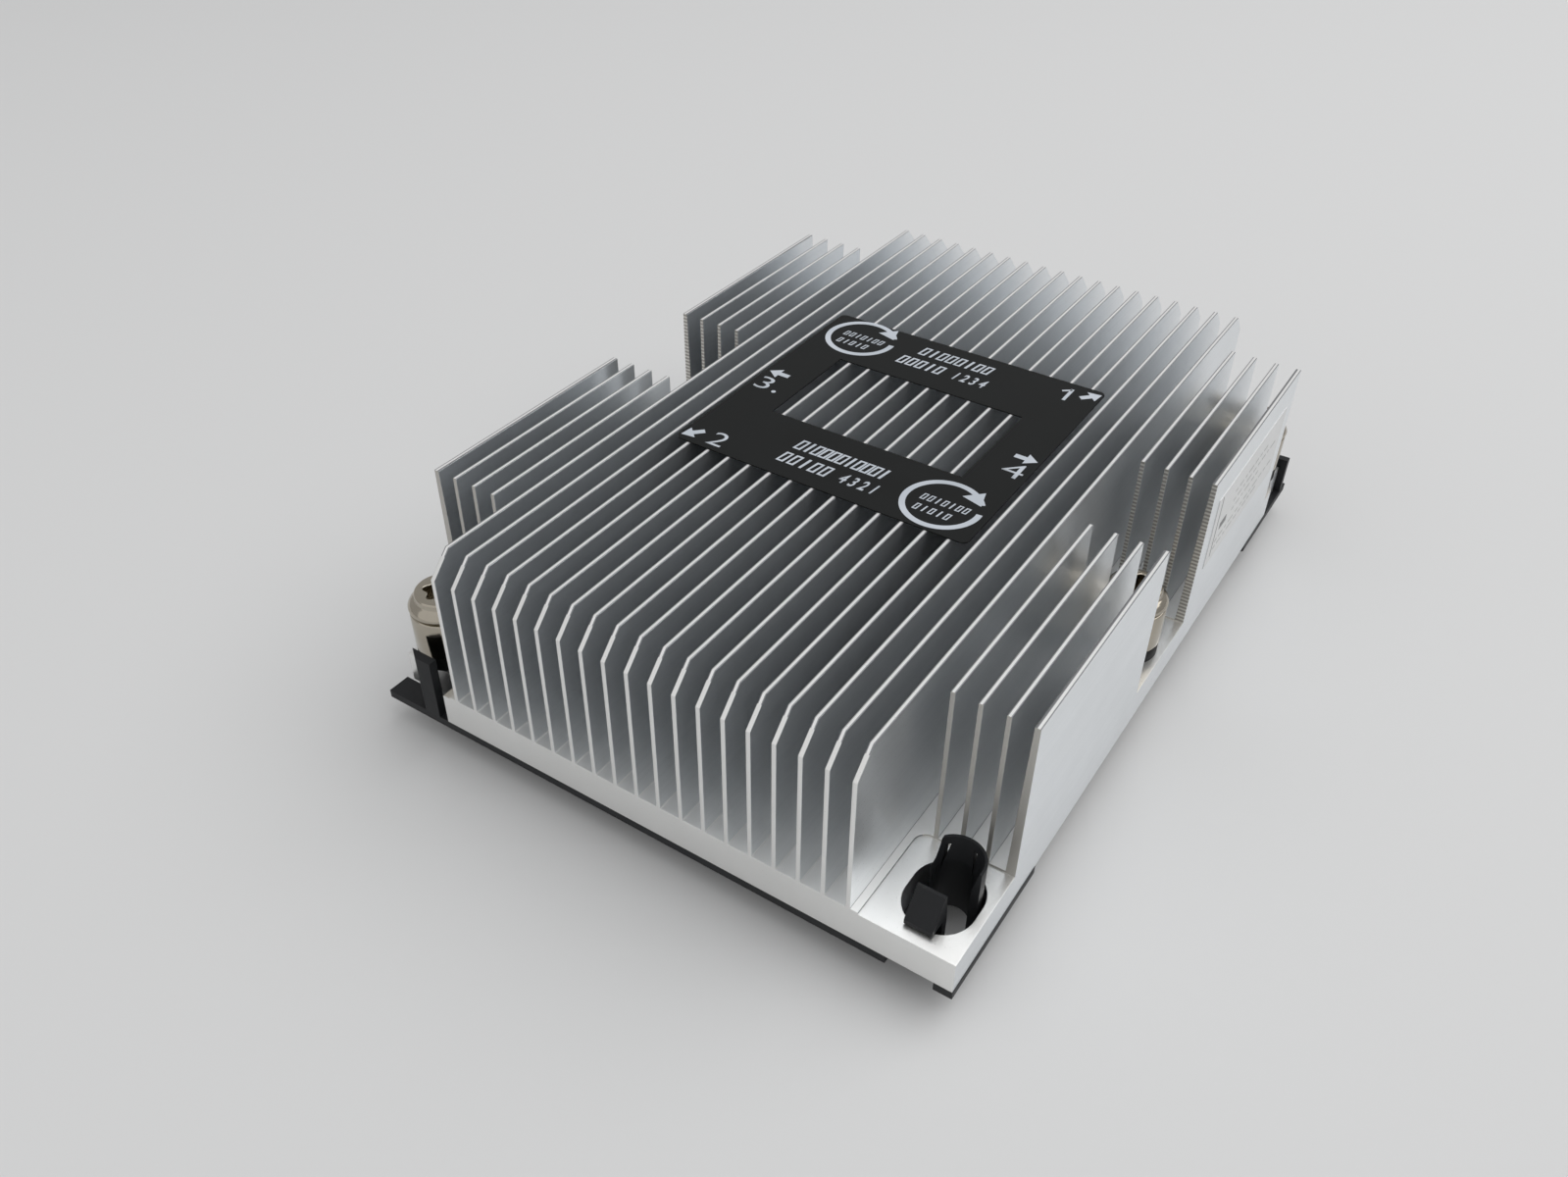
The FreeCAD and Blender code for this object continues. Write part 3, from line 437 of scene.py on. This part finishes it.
def makeTurnedMetal(name, values):
    # fine rings by radius and height, which a turning tool leaves
    material, shader = newMaterial(name)
    tree = material.node_tree
    look = useGroup(tree, facing, -900, 0)
    radius = addNode(tree, "ShaderNodeAttribute", -900, -300, attribute_name="turnRadius")
    turn = addNode(tree, "ShaderNodeCombineXYZ", -700, -300)
    plug(tree, radius.outputs["Fac"], turn.inputs[0])
    plug(tree, look["Height"], turn.inputs[2])
    rings = linesOf(tree, -500, -300, turn.outputs[0], turned["lines"], turned["detail"])
    patches = useGroup(tree, mouldedGrain, -500, 100, Place=look["Place"])["Patches"]
    dull = maths(tree, "MULTIPLY", -350, 0, patches, turned["dullShare"])
    plug(tree, mixed(tree, -200, 200, dull, values["base"], values["dull"]), shader.inputs["Base Color"])
    shader.inputs["Metallic"].default_value = 1.0
    plug(tree, rangeOf(tree, -100, -100, rings, (0, 1), values["rough"]), shader.inputs["Roughness"])
    bumped(tree, shader, rings, turned["depth"], turned["strength"])
    return material


finAluminium = makeAluminium()
clipBlack = makePlastic("clipPlastic", clipPlastic)
washerBlack = makePlastic("washerPlastic", washerPlastic)
nutNickel = makeTurnedMetal("nutNickel", nickel)
springSteel = makeTurnedMetal("ringSteel", ringSteel)
filmBlack = makePlastic("labelFilm", labelFilm)
printWhite = makePlastic("labelPrint", labelPrint)
filmGrey = makePlastic("sideFilm", sideFilm)
printDark = makePlastic("sidePrint", sidePrint)
printPale = makePlastic("sideRows", sideRows)

coats = {"finned_heatsink": finAluminium, "carrier_clip": clipBlack,
         "instruction_label": filmBlack, "side_label": filmGrey}
for number in range(1, 5):
    coats[f"washer_{number}"] = washerBlack
    coats[f"retaining_ring_{number}"] = springSteel
    coats[f"captive_nut_{number}"] = nutNickel
for name, material in coats.items():
    coat(nodes[name], material)
print("materials done")


nut = {
    "steps": 72, "base": 4.5,  # vertices round each ring, and the height of the base plate's underside
    "places": {"captive_nut_1": (34.13, 47.25), "captive_nut_2": (-34.13, -47.25),
               "captive_nut_3": (-34.13, 0.0), "captive_nut_4": (34.13, 0.0)},
    # radius and height above the underside of the base plate, from inside the thread bore round to the rim
    "body": [
        (1.65, 7.2), (1.65, -2.55), (1.9, -2.8), (2.75, -2.8), (2.95, -2.6),  # thread bore and lower end
        (2.95, -1.85), (2.45, -1.85), (2.45, -1.15), (2.95, -1.15),  # groove of the retaining ring
        (2.95, 5.95), (4.0, 5.95), (4.15, 6.1),  # shank and shoulder
        (4.15, 10.92), (4.1, 11.08), (3.96, 11.17), (3.7, 11.2), (3.7, 11.55),  # barrel and neck
        (4.12, 11.55), (4.22, 11.63), (4.22, 11.85), (4.12, 12.1), (3.8, 12.5), (3.42, 12.74),  # cap
        (3.3, 12.8), (3.3, 13.4), (3.18, 13.58), (2.95, 13.66),  # rim
    ],
    "recess": [(2.35, 13.66), (2.25, 13.56), (2.25, 11.05)],
    "lobes": 6, "lobe": 2.25, "waist": 1.62,
    "edge": 0.06, "edgeSteps": 2, "edgeAngle": 30, "smoothAngle": 35,
}


def shapeRecess(piece, first, centre):
    # corners between the lobes move towards the axis, in each ring from the first recess vertex on
    steps = nut["steps"]
    perLobe = steps // nut["lobes"]
    for phase in range(1, perLobe // 2 + 1):
        share = 0.5 - 0.5 * math.cos(2 * math.pi * phase / perLobe)
        grow = 1 - share * (1 - nut["waist"] / nut["lobe"])
        sides = (phase, perLobe - phase)
        pickVertices(piece, lambda v: v.index >= first and v.index % steps % perLobe in sides)
        bpy.ops.transform.resize(value=(grow, grow, 1), center_override=centre)
        bpy.ops.object.mode_set(mode="OBJECT")


def makeNut():
    x, y = nut["places"]["captive_nut_1"]
    steps = nut["steps"]
    profile = nut["body"] + nut["recess"]
    radius, height = profile[0]
    centre = (x * mm, y * mm, 0)
    selectNone()
    bpy.ops.mesh.primitive_circle_add(vertices=steps, radius=radius * mm, fill_type="NOTHING",
                                      location=(x * mm, y * mm, (height + nut["base"]) * mm))
    piece = bpy.context.object
    bpy.ops.object.mode_set(mode="EDIT")
    bpy.ops.mesh.select_all(action="SELECT")
    for nextRadius, nextHeight in profile[1:]:
        pushRing((nextHeight - height) * mm, nextRadius / radius, centre)
        radius, height = nextRadius, nextHeight
    bpy.ops.mesh.edge_face_add()
    bpy.ops.object.mode_set(mode="OBJECT")
    shapeRecess(piece, steps * len(nut["body"]), centre)
    # the bore's end
    pickVertices(piece, lambda v: v.index < steps)
    bpy.ops.mesh.edge_face_add()
    bpy.ops.mesh.select_all(action="SELECT")
    bpy.ops.mesh.normals_make_consistent(inside=False)
    bpy.ops.object.mode_set(mode="OBJECT")
    settle(piece, "nut_1")
    bevel = piece.modifiers.new("Bevel", "BEVEL")
    bevel.width = nut["edge"] * mm
    bevel.segments = nut["edgeSteps"]
    bevel.limit_method = "ANGLE"
    bevel.angle_limit = math.radians(nut["edgeAngle"])
    bpy.ops.object.modifier_apply(modifier=bevel.name)
    bpy.ops.object.shade_smooth_by_angle(angle=math.radians(nut["smoothAngle"]))
    radii = piece.data.attributes.new("turnRadius", "FLOAT", "POINT")
    for vertex, entry in zip(piece.data.vertices, radii.data):
        entry.value = math.hypot(vertex.co.x - centre[0], vertex.co.y - centre[1])
    coat(piece, nutNickel)
    return piece


firstNut = makeNut()
startX, startY = nut["places"]["captive_nut_1"]
for number in range(1, 5):
    x, y = nut["places"][f"captive_nut_{number}"]
    piece = firstNut
    if number > 1:
        piece = copyOf(firstNut, f"nut_{number}", ((x - startX) * mm, (y - startY) * mm, 0))
    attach(piece, f"nut_{number}")
    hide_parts(f"captive_nut_{number}")
print("nuts done")


marks = {
    "top": 29.95, "depth": 0.02,  # the label's upper face above the floor, and the print's thickness
    "lift": 0.001,  # arrow heads lie this much above what they overlap
    # ring arrows: middles, outer radius, stroke, open angles, and the head's x, y, radius and turn
    "rings": [(-14.1, 15.4), (14.1, -13.9)], "outer": 4.95, "stroke": 0.75, "gap": (8, 30), "ringSteps": 90,
    "ringHead": (2.8, 3.2, 1.65, -135),
    # straight arrows: x, y and turn of each
    "arrows": [(18.58, 18.35, 45), (-17.9, 0.82, 180), (-18.6, -17.35, 225), (18.0, 0.2, 0)],
    # the shaft's shift, length and width, and the head's shift, radius and spread
    "shaft": (-0.7, 1.56, 0.8), "head": (0.5, 1.0, 1.34),
    # body, x, y, size, boldness, width and slant
    "digits": [("1", 15.9, 16.98, 4.6, 0.0, 1.0, 0.0), ("3", -18.15, -2.38, 4.36, -0.02, 1.3, 0.0),
               ("2", -15.03, -17.1, 4.34, -0.02, 1.14, 0.0), ("4", 17.9, -3.12, 4.78, -0.04, 1.28, 0.0),
               ("1 2 3 4", 3.5, 13.3, 2.8, 0.05, 0.6, 0.2), ("4 3 2 1", 4.05, -15.8, 2.8, 0.05, 0.63, 0.2)],
    # rows of signs of letter size, open ones and thin ones: start, end, y and height
    "words": [("oioooioo", -5.55, 4.85, 17.0, 2.2), ("oooio", -7.05, -0.55, 13.5, 2.2),
              ("oiooooioooi", -6.6, 5.95, -12.3, 2.2), ("ooioo", -6.9, -0.1, -15.6, 2.2)],
    "ringWords": [("ooioioo", -2.8, 3.2, 0.3, 1.25), ("oioio", -2.6, 1.9, -1.9, 1.25)],
    # width, stroke and slant of the signs as shares of their height
    "letters": {"o": 0.47, "i": 0.16}, "letterStroke": 0.125, "slant": 0.14,
    # x, y and radius of the dot; x, y, length, width and turn of the flag
    "dot": (-15.98, -3.52, 0.3), "dotSteps": 24, "flag": (15.38, 18.13, 1.35, 0.34, 38),
}


def onLabel(x, y, lift=0.0):
    return (x * mm, y * mm, (marks["top"] + lift) * mm)


def makeHead(x, y, radius, turn):
    # a flat triangle, whose tip points along +Y before it is turned
    place = onLabel(x, y, marks["lift"])
    bpy.ops.mesh.primitive_circle_add(vertices=3, radius=radius * mm, fill_type="NGON", location=place,
                                      rotation=(0, 0, math.radians(turn)))
    return bpy.context.object


def makeRingArrow(x, y, name):
    selectNone()
    outer, stroke = marks["outer"], marks["stroke"]
    centre = onLabel(x, y)
    bpy.ops.mesh.primitive_circle_add(vertices=marks["ringSteps"], radius=outer * mm, fill_type="NOTHING",
                                      location=centre)
    ring = bpy.context.object
    bpy.ops.object.mode_set(mode="EDIT")
    bpy.ops.mesh.select_all(action="SELECT")
    pushRing(0, (outer - stroke) / outer, centre)
    bpy.ops.object.mode_set(mode="OBJECT")
    low, high = marks["gap"]
    pickVertices(ring, lambda v: low < math.degrees(math.atan2(v.co.y, v.co.x)) < high)
    bpy.ops.mesh.delete(type="VERT")
    bpy.ops.object.mode_set(mode="OBJECT")
    headX, headY, radius, turn = marks["ringHead"]
    head = makeHead(x + headX, y + headY, radius, turn)
    return faceUp(joined([ring, head], name))


def makeArrow(x, y, turn, name):
    # it points along +X until it is turned, from +X towards +Y: the operator turns against its value
    selectNone()
    shift, length, wide = marks["shaft"]
    bpy.ops.mesh.primitive_plane_add(size=1, location=onLabel(x + shift, y))
    shaft = bpy.context.object
    bpy.ops.transform.resize(value=(length * mm, wide * mm, 1))
    shift, radius, spread = marks["head"]
    head = makeHead(x + shift, y, radius, -90)
    bpy.ops.transform.resize(value=(1, spread, 1))
    shaft.select_set(True)
    bpy.ops.transform.rotate(value=math.radians(-turn), orient_axis="Z", center_override=onLabel(x, y))
    return joined([shaft, head], name)


def makeText(body, x, y, size, bold, wide, lean, name):
    selectNone()
    bpy.ops.object.text_add(location=onLabel(x, y))
    piece = bpy.context.object
    piece.data.body = body
    piece.data.size = size * mm
    piece.data.shear = lean
    piece.data.offset = bold * mm
    piece.data.align_x = "CENTER"
    piece.data.align_y = "CENTER"
    bpy.ops.object.convert(target="MESH")
    bpy.ops.transform.resize(value=(wide, 1, 1))
    return settle(bpy.context.object, name)


def makeLetter(kind, high):
    # one slanted sign of letter size, open in the middle or a thin stroke
    selectNone()
    bpy.ops.mesh.primitive_plane_add(size=1, location=onLabel(0, 0))
    piece = bpy.context.object
    bpy.ops.object.mode_set(mode="EDIT")
    bpy.ops.mesh.select_all(action="SELECT")
    bpy.ops.transform.resize(value=(high * marks["letters"][kind] * mm, high * mm, 1))
    if kind == "o":
        bpy.ops.mesh.inset(thickness=high * marks["letterStroke"] * mm, depth=0)
        bpy.ops.mesh.delete(type="FACE")
    bpy.ops.object.mode_set(mode="OBJECT")
    pickVertices(piece, lambda v: v.co.y > 0)
    bpy.ops.transform.translate(value=(high * marks["slant"] * mm, 0, 0))
    bpy.ops.object.mode_set(mode="OBJECT")
    return settle(piece, "letter")


def makeWords(pattern, start, end, y, high, name):
    letters = {kind: makeLetter(kind, high) for kind in "oi"}
    wide = high * marks["letters"]["o"]
    step = (end - start - wide) / (len(pattern) - 1)
    pieces = []
    for number, kind in enumerate(pattern):
        place = ((start + wide / 2 + number * step) * mm, y * mm, 0)
        pieces.append(copyOf(letters[kind], f"{name}_{number}", place))
    selectOnly(letters["o"])
    letters["i"].select_set(True)
    bpy.ops.object.delete()
    return joined(pieces, name)


def makeDot(x, y, radius):
    selectNone()
    bpy.ops.mesh.primitive_circle_add(vertices=marks["dotSteps"], radius=radius * mm, fill_type="NGON",
                                      location=onLabel(x, y))
    return settle(bpy.context.object, "dot")


def makeFlag(x, y, length, wide, turn):
    # the upstroke of the figure one, which the plain letters lack
    selectNone()
    bpy.ops.mesh.primitive_plane_add(size=1, location=onLabel(x, y), rotation=(0, 0, math.radians(turn)))
    bpy.ops.transform.resize(value=(length * mm, wide * mm, 1), orient_type="LOCAL")
    return settle(bpy.context.object, "flag")


def makePrint():
    pieces = []
    for number, (x, y) in enumerate(marks["rings"]):
        pieces.append(makeRingArrow(x, y, f"ring_arrow_{number}"))
        for row, (pattern, start, end, offset, high) in enumerate(marks["ringWords"]):
            name = f"ring_words_{number}_{row}"
            pieces.append(makeWords(pattern, x + start, x + end, y + offset, high, name))
    for number, (x, y, turn) in enumerate(marks["arrows"]):
        pieces.append(makeArrow(x, y, turn, f"arrow_{number}"))
    for number, values in enumerate(marks["digits"]):
        pieces.append(makeText(*values, f"digit_{number}"))
    for number, values in enumerate(marks["words"]):
        pieces.append(makeWords(*values, f"words_{number}"))
    pieces.append(makeDot(*marks["dot"]))
    pieces.append(makeFlag(*marks["flag"]))
    return joined(pieces, "label_print")


prints = makePrint()
thicken(prints, marks["depth"] * mm)
coat(prints, printWhite)
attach(prints, "heatsink")


sideMarks = {
    "face": 39.1, "depth": 0.02,  # the label's outer face from the middle, and the print's thickness
    "high": 0.32, "gap": 0.7, "lengths": (0.9, 1.5, 0.7, 2.0, 1.2),
    # start, end and height above the floor of each row of small blocks
    "rows": [(13.2, 30.0, 17.3), (13.2, 34.5, 18.4), (18.6, 29.0, 20.2), (18.6, 34.0, 21.6),
             (18.6, 31.0, 23.0)],
    # start, end, height above the floor and own height of the dark bar and the thin upright line
    "bars": [(14.0, 16.5, 20.3, 0.95), (12.51, 12.69, 21.0, 9.0)],
}


def makeStrip(start, end, height, high):
    selectNone()
    place = (sideMarks["face"] * mm, (start + end) / 2 * mm, height * mm)
    bpy.ops.mesh.primitive_plane_add(size=1, location=place, rotation=(0, math.pi / 2, 0))
    bpy.ops.transform.resize(value=(1, (end - start) * mm, high * mm))
    return settle(bpy.context.object, "strip")


def makeSideBars():
    return joined([makeStrip(*bar) for bar in sideMarks["bars"]], "side_bars")


def makeSideRows():
    pieces = []
    for start, end, height in sideMarks["rows"]:
        lengths = cycle(sideMarks["lengths"])
        while start < end:
            length = next(lengths)
            pieces.append(makeStrip(start, start + length, height, sideMarks["high"]))
            start += length + sideMarks["gap"]
    return joined(pieces, "side_rows")


for piece, ink in ((makeSideBars(), printDark), (makeSideRows(), printPale)):
    thicken(piece, sideMarks["depth"] * mm)
    coat(piece, ink)
    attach(piece, "heatsink")
print("prints done")


studio = {
    "floor": (0.715, 0.718, 0.72, 1), "floorSize": 24, "floorRough": 0.9, "floorShine": 0.1,
    "sky": (1.0, 1.0, 1.0, 1), "skyStrength": 0.45,
    # name, power, size and place of each lamp
    "lamps": [("mainLamp", 7.0, 1.2, (0.40, 0.35, 0.95)), ("frontLamp", 4.6, 2.2, (-0.10, -1.10, 0.90))],
    "lens": 30.211, "sensor": 36, "nearest": 0.001,
    "cameraPlace": (0.066718, -0.127364, 0.115545), "cameraTurn": (51.606, -0.432, 33.458),
}


def makeFloor():
    selectNone()
    bpy.ops.mesh.primitive_plane_add(size=studio["floorSize"], location=(0, 0, 0))
    floor = bpy.context.object
    floor.name = "floor"
    paper, shader = newMaterial("floorPaper")
    shader.inputs["Base Color"].default_value = studio["floor"]
    shader.inputs["Roughness"].default_value = studio["floorRough"]
    shader.inputs["Specular IOR Level"].default_value = studio["floorShine"]
    coat(floor, paper)


def makeSky():
    world = bpy.context.scene.world or bpy.data.worlds.new("World")
    bpy.context.scene.world = world
    world.use_nodes = True
    world.node_tree.nodes["Background"].inputs[0].default_value = studio["sky"]
    world.node_tree.nodes["Background"].inputs[1].default_value = studio["skyStrength"]


def makeLamp(name, power, size, place):
    # an area lamp that faces the middle of the part
    selectNone()
    bpy.ops.object.light_add(type="AREA", location=place)
    lamp = bpy.context.object
    lamp.name = name
    lamp.data.energy = power
    lamp.data.size = size
    lamp.rotation_euler = (-Vector(place)).to_track_quat("-Z", "Y").to_euler()


def makeCamera():
    selectNone()
    bpy.ops.object.camera_add(location=studio["cameraPlace"],
                              rotation=[math.radians(turn) for turn in studio["cameraTurn"]])
    camera = bpy.context.object
    camera.data.lens = studio["lens"]
    camera.data.sensor_width = studio["sensor"]
    camera.data.clip_start = studio["nearest"]
    bpy.context.scene.camera = camera


makeFloor()
makeSky()
for values in studio["lamps"]:
    makeLamp(*values)
makeCamera()
bpy.context.scene.view_settings.view_transform = "Standard"
print("stage done")
